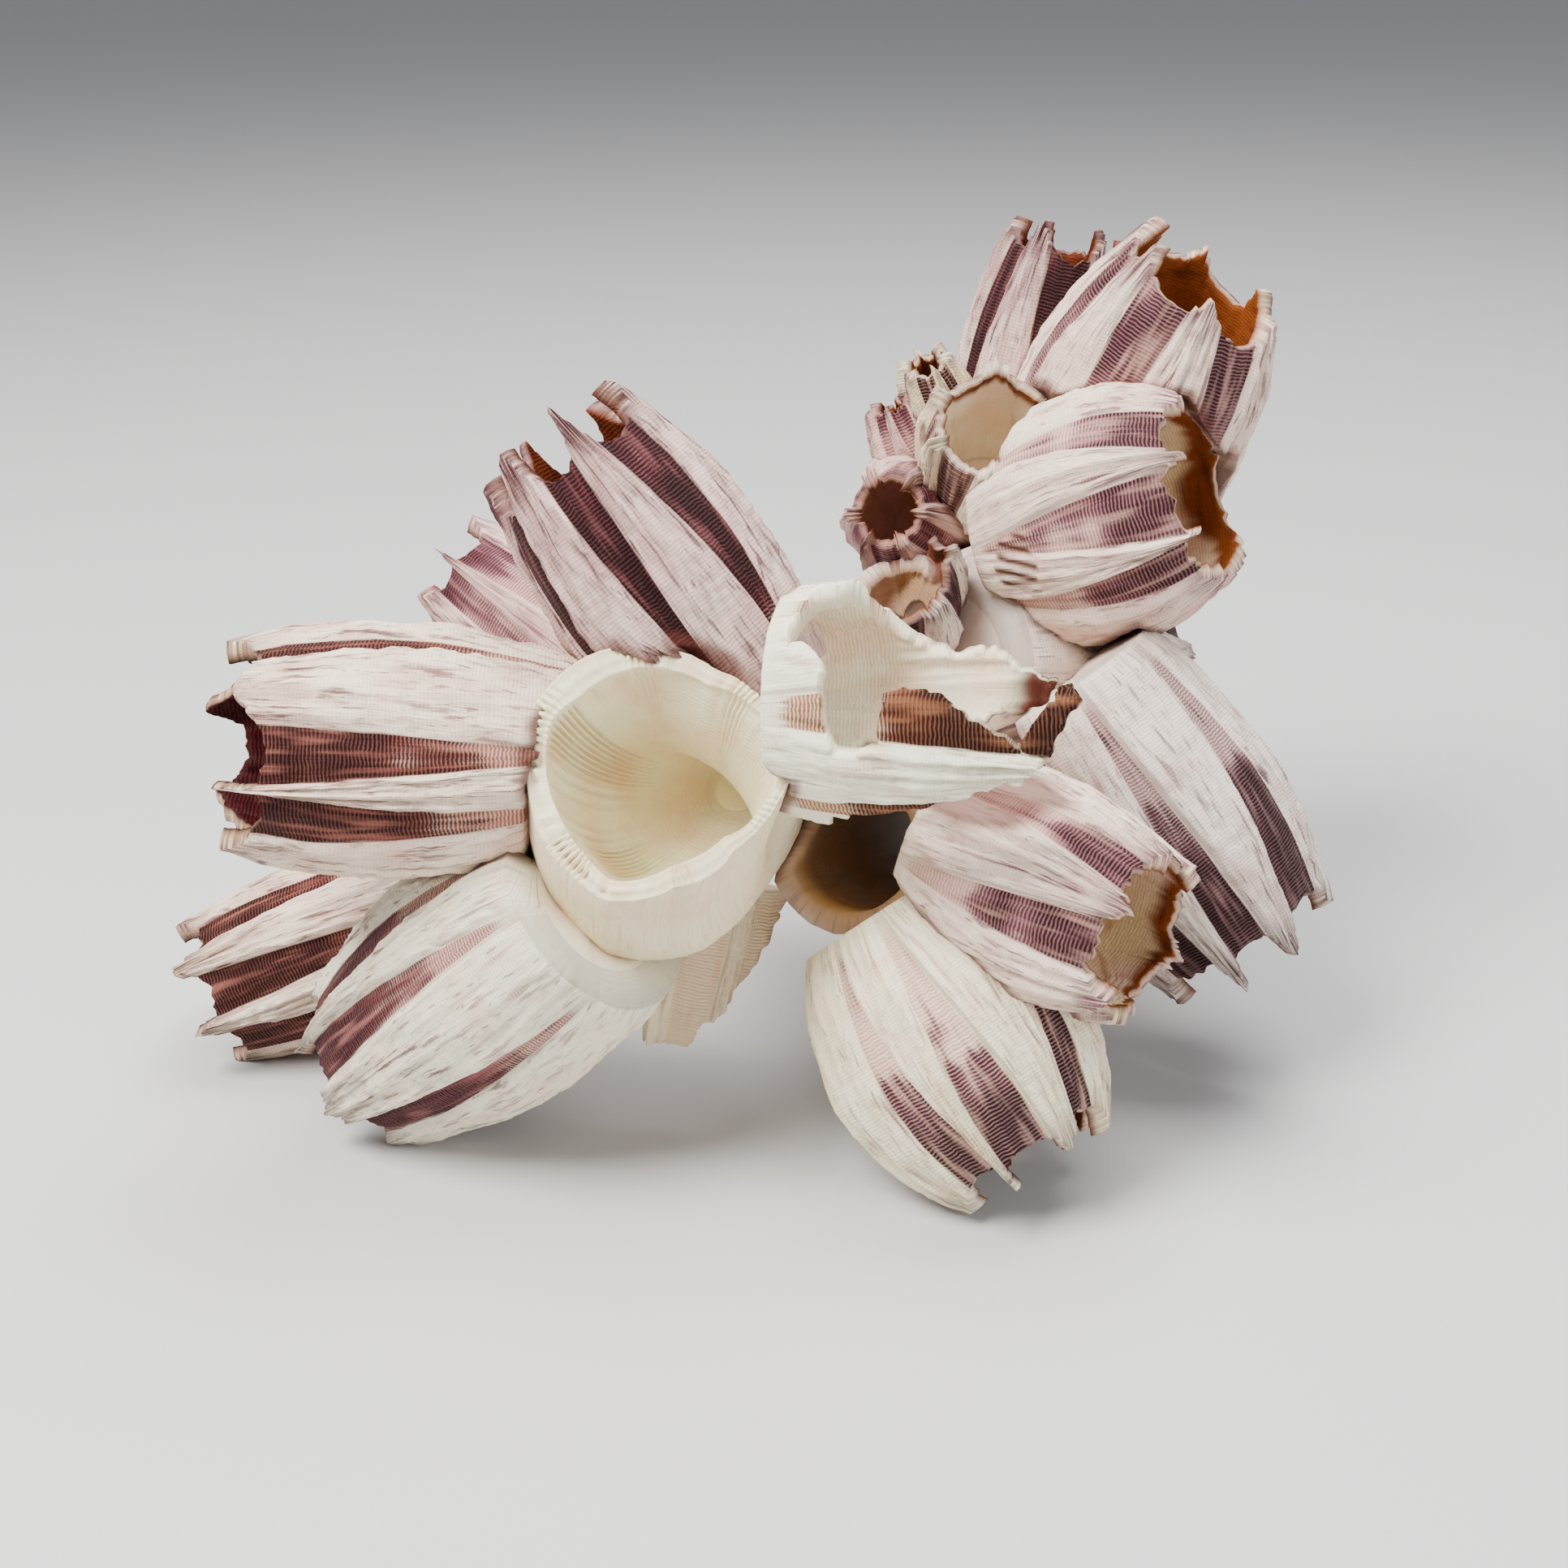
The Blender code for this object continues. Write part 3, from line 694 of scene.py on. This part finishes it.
def eased(points, kept, count, steps):
    """Smooths the stair steps along the breaks."""
    shape = (2, steps + 1, count)
    grid = points.reshape(shape + (3,)).copy()
    touching = np.zeros((steps + 1, count))
    for down in (0, 1):
        for left in (0, 1):
            touching[down:steps + down] += np.roll(kept, left, 1)
    edge = (touching > 0) & (touching < 4)
    edge[0] = False
    edge[-1] = False
    for step in range(3):
        total = np.zeros_like(grid)
        number = np.zeros(shape)
        for roll, axis in ((1, 2), (-1, 2), (1, 1), (-1, 1)):
            near = np.roll(edge, roll, axis - 1)
            total += np.roll(grid, roll, axis) * near[None, ..., None]
            number += near[None]
        mean = total / np.maximum(number, 1)[..., None]
        move = (edge[None] & (number > 1))[..., None]
        grid = np.where(move, 0.5 * grid + 0.5 * mean, grid)
    return grid.reshape(-1, 3)


def srgb(red, green, blue):
    """A colour in screen values from 0 to 255, turned into the shader's linear ones."""
    out = []
    for value in (red, green, blue):
        value /= 255
        out.append(value / 12.92 if value <= 0.04045 else ((value + 0.055) / 1.055) ** 2.4)
    return (*out, 1.0)


# Surface colours of each kind of shell, deeper than they look in the picture: plates and streaks
# on them, radii from pale to dark, the inside and its rusty rim; start is the height where the
# radii darken, streaks and stain how strongly the plates are lined and tinted
# The streak colour and the streaks amount also paint the shade in the plates' creases
LOOKS = {
    "cup": dict(plate=(237, 223, 189), warm=(232, 204, 165), streak=(169, 127, 106),
                pale=(231, 203, 168), middle=(211, 168, 138), dark=(155, 112, 86), inner=(236, 231, 193),
                rust=(73, 61, 11), start=2.0, streaks=0.2, stain=0.0),
    "broken": dict(plate=(236, 230, 204), warm=(231, 202, 167), streak=(123, 81, 73),
                   pale=(162, 108, 75), middle=(67, 27, 13), dark=(29, 2, 2), inner=(236, 229, 199),
                   rust=(84, 40, 27), start=0.36, streaks=0.3, stain=0.0),
    "brown": dict(plate=(236, 216, 193), warm=(224, 184, 165), streak=(97, 50, 54), pale=(165, 101, 89),
                  middle=(68, 28, 25), dark=(29, 2, 3), inner=(166, 133, 88), rust=(51, 2, 6),
                  start=0.45, streaks=0.95, stain=0.35),
    "pink": dict(plate=(236, 230, 204), warm=(232, 203, 176), streak=(107, 64, 68), pale=(168, 108, 104),
                 middle=(80, 36, 44), dark=(38, 3, 10), inner=(144, 108, 69), rust=(104, 46, 18),
                 start=0.5, streaks=0.9, stain=0.2),
    "maroon": dict(plate=(220, 190, 179), warm=(192, 150, 147), streak=(73, 36, 47), pale=(121, 70, 71),
                   middle=(54, 8, 19), dark=(23, 2, 4), inner=(123, 86, 62), rust=(104, 44, 20), start=0.1,
                   streaks=1.0, stain=0.6),
    "cream": dict(plate=(237, 227, 194), warm=(232, 200, 163), streak=(123, 77, 72),
                  pale=(220, 176, 158), middle=(78, 32, 48), dark=(36, 3, 18), inner=(236, 225, 203),
                  rust=(112, 54, 22), start=0.55, streaks=0.7, stain=0.15),
    "mauve": dict(plate=(236, 215, 195), warm=(219, 179, 164), streak=(100, 58, 68),
                  pale=(206, 158, 147), middle=(98, 52, 64), dark=(48, 10, 24), inner=(235, 212, 166),
                  rust=(128, 64, 22), start=0.58, streaks=0.95, stain=0.35),
    "grey": dict(plate=(226, 211, 197), warm=(205, 172, 162), streak=(90, 59, 68), pale=(150, 111, 111),
                 middle=(60, 27, 36), dark=(23, 2, 5), inner=(159, 127, 93), rust=(108, 50, 18), start=0.5,
                 streaks=0.9, stain=0.35),
    "blurred": dict(plate=(224, 191, 179), warm=(197, 151, 147), streak=(99, 54, 67),
                    pale=(161, 110, 107), middle=(84, 42, 56), dark=(49, 6, 22), inner=(187, 147, 117),
                    rust=(116, 58, 26), start=0.85, streaks=0.9, stain=0.4),
    "window": dict(plate=(202, 175, 156), warm=(161, 133, 109), streak=(82, 54, 49), pale=(134, 97, 84),
                   middle=(59, 35, 30), dark=(27, 4, 6), inner=(164, 122, 70), rust=(130, 93, 44),
                   start=0.4, streaks=0.7, stain=0.2),
}


class Nodes:
    """Short ways to add and join shader nodes."""

    def __init__(self, material):
        material.use_nodes = True
        self.tree = material.node_tree
        self.shader = self.tree.nodes["Principled BSDF"]

    def plug(self, value, socket):
        if isinstance(value, bpy.types.NodeSocket):
            self.tree.links.new(value, socket)
        elif value is not None:
            socket.default_value = value

    def attribute(self, name):
        node = self.tree.nodes.new("ShaderNodeAttribute")
        node.attribute_name = name
        return node.outputs["Fac"]

    def maths(self, kind, a, b=None, c=None, clamp=False):
        node = self.tree.nodes.new("ShaderNodeMath")
        node.operation = kind
        node.use_clamp = clamp
        for value, socket in zip((a, b, c), node.inputs):
            self.plug(value, socket)
        return node.outputs[0]

    def times(self, a, b):
        return self.maths("MULTIPLY", a, b)

    def stretched(self, across, fine, along, slow, seed):
        """A place on the wall, drawn out along the shell for streaks."""
        node = self.tree.nodes.new("ShaderNodeCombineXYZ")
        self.plug(self.times(across, fine), node.inputs[0])
        self.plug(self.times(along, slow), node.inputs[1])
        node.inputs[2].default_value = seed
        return node.outputs[0]

    def texture(self, vector, scale, detail=2.0, rough=0.5):
        node = self.tree.nodes.new("ShaderNodeTexNoise")
        self.plug(vector, node.inputs["Vector"])
        node.inputs["Scale"].default_value = scale
        node.inputs["Detail"].default_value = detail
        node.inputs["Roughness"].default_value = rough
        return node.outputs["Fac"]

    def band(self, value, low, high):
        node = self.tree.nodes.new("ShaderNodeMapRange")
        node.interpolation_type = "SMOOTHSTEP"
        self.plug(value, node.inputs["Value"])
        node.inputs["From Min"].default_value = low
        node.inputs["From Max"].default_value = high
        return node.outputs["Result"]

    def mix(self, factor, a, b):
        node = self.tree.nodes.new("ShaderNodeMix")
        node.data_type = "RGBA"
        node.clamp_factor = True
        self.plug(factor, node.inputs["Factor"])
        self.plug(a, node.inputs[6])
        self.plug(b, node.inputs[7])
        return node.outputs[2]


def shell_material(name, look, seed):
    """Chalky ribbed plates with purple streaks, striated radii and a rust and cream inside, with painted
    shade in the plates' creases and where shells meet.
    """
    colours = {key: srgb(*value) for key, value in look.items() if isinstance(value, tuple)}
    material = bpy.data.materials.new(name)
    n = Nodes(material)
    height = n.attribute("height")
    place = n.attribute("place")
    trough = n.attribute("trough")
    ribs = n.attribute("ribs")
    rise = n.attribute("rise")
    spot = n.tree.nodes.new("ShaderNodeTexCoord").outputs["Object"]
    cloud = n.texture(spot, 160.0, 3.0)
    small = n.texture(spot, 900.0, 3.0, 0.6)
    lines = n.texture(n.stretched(place, 9.0, height, 0.05, seed), 1.0, 4.0, 0.65)
    broad = n.texture(n.stretched(place, 1.7, height, 0.10, seed + 5.0), 1.0, 2.0)
    hair = n.texture(n.stretched(place, 30.0, height, 0.12, seed), 1.0, 2.0)
    wobble = n.texture(n.stretched(place, 2.0, height, 0.3, seed), 1.0)
    turns = n.maths("MULTIPLY_ADD", height, math.tau / FINE_STRIA, n.times(wobble, 9.0))
    wave = n.maths("SINE", turns)
    dashes = n.texture(n.stretched(place, 11.0, height, 0.30, seed + 2.0), 1.0, 3.0, 0.6)
    wrinkle = n.texture(n.stretched(place, 7.0, height, 0.13, seed + 9.0), 1.0, 5.0, 0.62)
    plate = n.mix(n.band(cloud, 0.45, 0.85), colours["plate"], colours["warm"])
    stain = n.times(n.band(broad, 0.42, 0.62), n.band(rise, 0.1, 0.9))
    plate = n.mix(n.times(stain, look["stain"]), plate, colours["pale"])
    tips = n.times(n.band(rise, 0.86, 1.02), n.band(lines, 0.40, 0.58))
    plate = n.mix(n.times(tips, look["streaks"]), plate, colours["middle"])
    streak = n.times(n.band(wrinkle, 0.52, 0.62), n.band(broad, 0.32, 0.58))
    off_ribs = n.maths("SUBTRACT", 1.0, n.times(ribs, 0.7), clamp=True)
    upper = n.maths("MULTIPLY_ADD", rise, 0.8, 0.5, clamp=True)
    upper = n.times(upper, look["streaks"])
    amount = n.times(n.times(streak, off_ribs), upper)
    plate = n.mix(amount, plate, colours["streak"])
    # Painted crease shade: the plates darken in their creases, in the streak colour
    crease_shade_amount = n.times(n.attribute("crease_shade"), n.band(cloud, 0.25, 0.7))
    plate = n.mix(n.times(crease_shade_amount, 0.45 * look["streaks"]), plate, colours["streak"])
    for spots, share in ((n.band(dashes, 0.60, 0.68), 0.75), (n.band(wave, 0.2, 1.0), 0.10)):
        plate = n.mix(n.times(spots, share * look["streaks"]), plate, colours["streak"])
    deep = n.maths("MULTIPLY_ADD", n.maths("SUBTRACT", broad, 0.5), 1.1, n.attribute("dark"))
    radius = n.mix(n.band(deep, 0.0, 0.40), colours["pale"], colours["middle"])
    radius = n.mix(n.band(deep, 0.35, 0.85), radius, colours["dark"])
    fresh = n.maths("SUBTRACT", 0.55, n.times(deep, 0.35), clamp=True)
    striped = n.mix(n.band(deep, 0.1, 0.6), colours["plate"], colours["pale"])
    radius = n.mix(n.times(n.band(wave, -0.3, 0.7), fresh), radius, striped)
    worn = n.texture(n.stretched(place, 2.2, height, 0.09, seed + 12.0), 1.0, 2.0, 0.5)
    radius = n.mix(n.times(n.band(worn, 0.48, 0.72), 0.55), radius, colours["pale"])
    edge = n.maths("MULTIPLY_ADD", n.maths("SUBTRACT", wrinkle, 0.5), 1.1, trough)
    outer = n.mix(n.band(edge, 0.0, 0.35), plate, radius)
    # Painted shade where a shell meets the shells it grew on
    outer = n.mix(n.times(n.attribute("contact_shade"), 0.8), outer, srgb(92, 46, 40))
    outer = n.mix(n.attribute("mark"), outer, srgb(72, 36, 20))
    bands = n.texture(n.stretched(place, 0.5, height, 0.5, seed), 1.0, 2.0)
    rust = n.mix(n.times(n.band(bands, 0.4, 0.8), 0.6), colours["rust"], colours["dark"])
    hollow = n.mix(n.band(cloud, 0.3, 0.8), colours["inner"], colours["warm"])
    hollow = n.mix(n.attribute("rust"), hollow, rust)
    colour = n.mix(n.attribute("inside"), outer, hollow)
    colour = n.mix(n.times(n.band(small, 0.56, 0.78), 0.14), colour, srgb(110, 70, 58))
    n.plug(colour, n.shader.inputs["Base Color"])
    n.shader.inputs["Specular IOR Level"].default_value = 0.12
    rough = n.maths("MULTIPLY_ADD", n.maths("SUBTRACT", cloud, 0.5), 0.3, 0.6)
    n.plug(rough, n.shader.inputs["Roughness"])
    bump = n.tree.nodes.new("ShaderNodeBump")
    bump.inputs["Strength"].default_value = 0.6
    bump.inputs["Distance"].default_value = 0.0002
    relief = n.times(wave, n.maths("MULTIPLY_ADD", trough, 0.28, 0.14))
    relief = n.maths("ADD", relief, n.times(small, 0.6))
    relief = n.maths("ADD", relief, n.times(hair, 0.7))
    crease = n.times(wrinkle, n.maths("MULTIPLY_ADD", n.attribute("inside"), -3.4, 3.6))
    relief = n.maths("ADD", relief, n.times(crease, look["streaks"]))
    n.plug(relief, bump.inputs["Height"])
    n.plug(bump.outputs["Normal"], n.shader.inputs["Normal"])
    return material


def added(name, data):
    """A new object, linked to the scene."""
    thing = bpy.data.objects.new(name, data)
    bpy.context.scene.collection.objects.link(thing)
    return thing


def make_piece(shell, others):
    """One dressed shell: its mesh, masks and material, standing for its solid."""
    if shell.standing is None:
        points, faces, masks = grid_mesh(shell, shell_grid(shell, others))
    else:
        points, faces, masks = broken_mesh(shell, others)
    points = (points - CENTRE) * MM
    points[:, 2] = np.maximum(points[:, 2], 0.0)
    mesh = bpy.data.meshes.new(shell.name + "_look")
    mesh.from_pydata(points, [], faces)
    mesh.validate()
    for key in MASKS:
        layer = mesh.attributes.new(key, "FLOAT", "POINT")
        layer.data.foreach_set("value", masks[key].astype(np.float32))
    mesh.shade_smooth()
    piece = added(shell.name + "_look", mesh)
    mesh.materials.append(shell_material(shell.name + "_surface", LOOKS[shell.look], float(shell.seed)))
    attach(piece, "root")
    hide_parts(shell.name)


SHELLS = [
    Shell("barnacle_front_cup", (-8, -5, 39), (-12.9, -30, 51.1), (11, 12.4, 13.6),
          radii=turned(EVEN, 20), bow=(-3, 0, -8), tip=0, notch=0,
          hollow=((-5.5, -11, 41), 3.5, 9.5), spread=1, groove=0.3, look="cup", detail=4, seed=1),
    Shell("barnacle_rear_lower", (7.5, -15, 36), (30, 40, 10.6), (10, 13.5, 11.5),
          radii=turned(EVEN, 10), open_base=True, bow=(7, 0, 5), look="window", detail=1, seed=2),
    Shell("barnacle_left_upper", (-18, -17.5, 48.6), (-59.5, -18, 49.8), (8, 13, 10.6),
          radii=((60, 18), (-3, 32), (-38, 30), (-100, 34), (180, 30), (115, 30)), belly=0.55,
          lean=(0.08, 180), look="brown", detail=3, seed=3),
    Shell("barnacle_left_lower", (-20.5, -24, 33.5), (-49, -11.5, 7), (12.4, 14, 9.9),
          radii=((55, 26), (22, 26), (-35, 22), (-100, 34), (165, 30), (110, 30)), look="pink",
          detail=3, seed=4),
    Shell("barnacle_top_front", (-2.5, -16.5, 54), (-23.4, -9, 80.5), (9, 11.8, 8.5),
          radii=((35, 34), (-15, 24), (-75, 34), (-125, 34), (170, 34), (95, 34)), belly=0.5, tip=0.06,
          notch=0.1, look="maroon", detail=3, seed=5),
    Shell("barnacle_broken", (0.5, -22, 56), (33, -30, 58), (11.5, 12.5, 10),
          radii=((6, 44), (62, 34), (125, 34), (185, 34), (245, 34), (305, 34)), spread=0.3, notch=0,
          tip=0, groove=0.4,
          missing=((0, 120, 120), (0.12, 115, 120), (0.16, 72, 160), (0.28, 68, 165), (0.44, 58, 170),
                   (0.59, 49, 175), (0.72, 37, 180), (0.78, 38, 185), (0.82, 34, 205), (0.88, 18, 205),
                   (0.93, 0, 205), (1.2, 0, 205)),
          standing=((0, -20, 340), (0.07, -22, 338), (0.09, -29, 300), (0.13, -28, 292), (0.18, -20, 285),
                    (0.2, 9, 280), (0.23, 24, 250), (0.3, 24, 225), (0.365, 21, 216), (0.38, -5, 213),
                    (0.48, -9, 211), (0.56, -6, 214), (0.6, 2, 212), (0.7, 9, 205), (0.755, 16, 200),
                    (0.77, 24, 200), (0.8, 14, 199), (0.85, -4, 199), (0.9, -13, 199), (0.94, -14, 199),
                    (0.97, 198, 199), (1.2, 198, 199)),
          look="broken", detail=3, seed=6),
    Shell("barnacle_bottom_front", (10.5, -17.5, 28.5), (27, -31, 5.5), (9.5, 14.4, 9.6), belly=0.42,
          radii=((38, 26), (5, 30), (-40, 20), (-95, 34), (-150, 34), (110, 30)), look="cream",
          detail=3, seed=7),
    Shell("barnacle_right_front", (18.6, -15, 35.5), (38, -31.5, 32.5), (10.5, 12, 9.2),
          radii=((20, 34), (-35, 26), (-90, 34), (-150, 34), (150, 34), (85, 30)), belly=0.45,
          tip=0.02, notch=0.05, look="mauve", detail=3, seed=8, rust=0.88),
    Shell("barnacle_bridge", (20, 14, 47), (46, 42, 37), (13, 14.5, 10.5),
          radii=turned(EVEN, 25), look="grey", detail=1, seed=9),
    Shell("barnacle_right_back", (34, 8, 47), (55.8, -2, 16.8), (11.5, 14.2, 10.6),
          radii=((50, 30), (10, 22), (-40, 34), (-95, 34), (-150, 34), (110, 34)), look="grey",
          detail=2, seed=10),
    Shell("barnacle_crown_cup", (26, 34, 62), (26, 20, 75.5), (7, 8.4, 7.4),
          radii=turned(EVEN, 15), look="cream", detail=2, seed=11, rust=0.9),
    Shell("barnacle_crown_round", (27, 21, 60), (50, 12, 69), (10, 14.7, 11.4),
          radii=((40, 22), (5, 34), (-40, 26), (-100, 34), (180, 34), (100, 34)), tip=0.02,
          notch=0.05, look="mauve", detail=2, seed=12, rust=0.8,
          marks=((27.5, 62, 2.4, 3.3, 1),)),
    Shell("barnacle_crown_large", (38, 34, 58.6), (51, 27, 91), (11, 14, 9.6),
          radii=((-25, 34), (35, 30), (90, 34), (150, 34), (210, 34), (-80, 30)), belly=0.55,
          lean=(0.05, 270), look="mauve", detail=2, seed=13),
    Shell("barnacle_crown_rear", (30, 44, 62), (37.5, 46, 92.5), (8, 9.5, 7),
          radii=turned(EVEN, 50), look="maroon", detail=2, seed=14),
    Shell("barnacle_crown_small", (20, 36, 57), (13, 21, 64.5), (7, 8, 4.4),
          radii=turned(EVEN, 35), look="blurred", detail=1, seed=15, rust=0.85, tip=0.01),
    Shell("barnacle_crown_bud", (20, 40, 61), (14.5, 41, 73), (4, 4.6, 3),
          radii=turned(EVEN, 5), look="blurred", detail=1, seed=16, ribs=(2, 3), jag=0.6),
    Shell("barnacle_crown_knob", (24, 42, 66), (18.5, 38, 79), (4, 4.4, 3),
          radii=turned(EVEN, 25), look="cream", detail=1, seed=17, ribs=(2, 3), jag=0.6),
    Shell("barnacle_crown_low", (15.5, 18, 50), (13, 7, 61), (6, 7.4, 7),
          radii=turned(EVEN, 45), tip=0.02, standing=((0, 0, 360), (0.4, -110, 110), (1, -95, 100)),
          look="grey", detail=1, seed=18),
    Shell("barnacle_hanging_wall", (-8, -2, 27), (-12.5, -7, 8), (9.5, 9, 7.5),
          radii=turned(EVEN, 0), open_base=True, spread=1, groove=0.2, tip=0, notch=0,
          standing=((0, -70, 62), (0.5, -45, 50), (1, -5, 30)), look="cup", detail=2, seed=19),
    Shell("barnacle_left_back", (-36, 7.5, 21), (-71.5, 5, 7.4), (8.5, 10.8, 8.9),
          radii=((50, 26), (0, 32), (-50, 34), (-110, 34), (180, 34), (110, 34)), look="brown",
          detail=2, seed=20),
    Shell("barnacle_top_back", (-12, 2, 43), (-39, 20.5, 57.5), (7.5, 8.6, 6),
          radii=turned(EVEN, 30), look="blurred", detail=1, seed=21),
]


def area_light(name, place, aim, size, power, colour=(1, 1, 1)):
    data = bpy.data.lights.new(name, "AREA")
    data.shape = "DISK"
    data.size = size
    data.energy = power
    data.color = colour
    lamp = added(name, data)
    lamp.location = place
    lamp.rotation_euler = (Vector(aim) - Vector(place)).to_track_quat("-Z", "Y").to_euler()


def stage():
    """A plain pale floor, soft lights, and the camera where the photo was taken from."""
    mesh = bpy.data.meshes.new("floor")
    mesh.from_pydata([(-3, -3, 0), (3, -3, 0), (3, 3, 0), (-3, 3, 0)], [], [(0, 1, 2, 3)])
    floor = added("floor", mesh)
    floor.location.z = -0.0001
    material = bpy.data.materials.new("floor_paint")
    n = Nodes(material)
    n.plug(srgb(198, 197, 196), n.shader.inputs["Base Color"])
    n.shader.inputs["Roughness"].default_value = 0.6
    mesh.materials.append(material)
    area_light("key", (-0.3, -0.2, 0.55), (0, 0, 0.04), 0.35, 10.5, (1.0, 0.98, 0.96))
    area_light("top", (0.15, 0.15, 0.7), (0, 0, 0.04), 0.5, 7.0)
    area_light("fill", (0.5, -0.4, 0.25), (0, 0, 0.04), 0.4, 2.5, (0.94, 0.97, 1.0))
    world = bpy.data.worlds.new("world")
    bpy.context.scene.world = world
    world.use_nodes = True
    world.node_tree.nodes["Background"].inputs["Color"].default_value = (0.9, 0.93, 1.0, 1)
    world.node_tree.nodes["Background"].inputs["Strength"].default_value = 0.35
    camera = bpy.data.cameras.new("camera")
    camera.lens = camera.sensor_width * FOCAL / PICTURE
    view = added("camera", camera)
    pitch = math.radians(PITCH)
    roll = math.radians(ROLL)
    forward = Vector((0, math.cos(pitch), -math.sin(pitch)))
    right = Vector((1, 0, 0))
    up = right.cross(forward)
    across = right * math.cos(roll) - up * math.sin(roll)
    above = right * math.sin(roll) + up * math.cos(roll)
    matrix = Matrix((across, above, -forward)).transposed().to_4x4()
    matrix.translation = Vector((np.array(EYE) - CENTRE) * MM)
    view.matrix_world = matrix
    bpy.context.scene.camera = view


grown = []
for shell in SHELLS:
    make_piece(shell, grown)
    grown.append(shell)
stage()
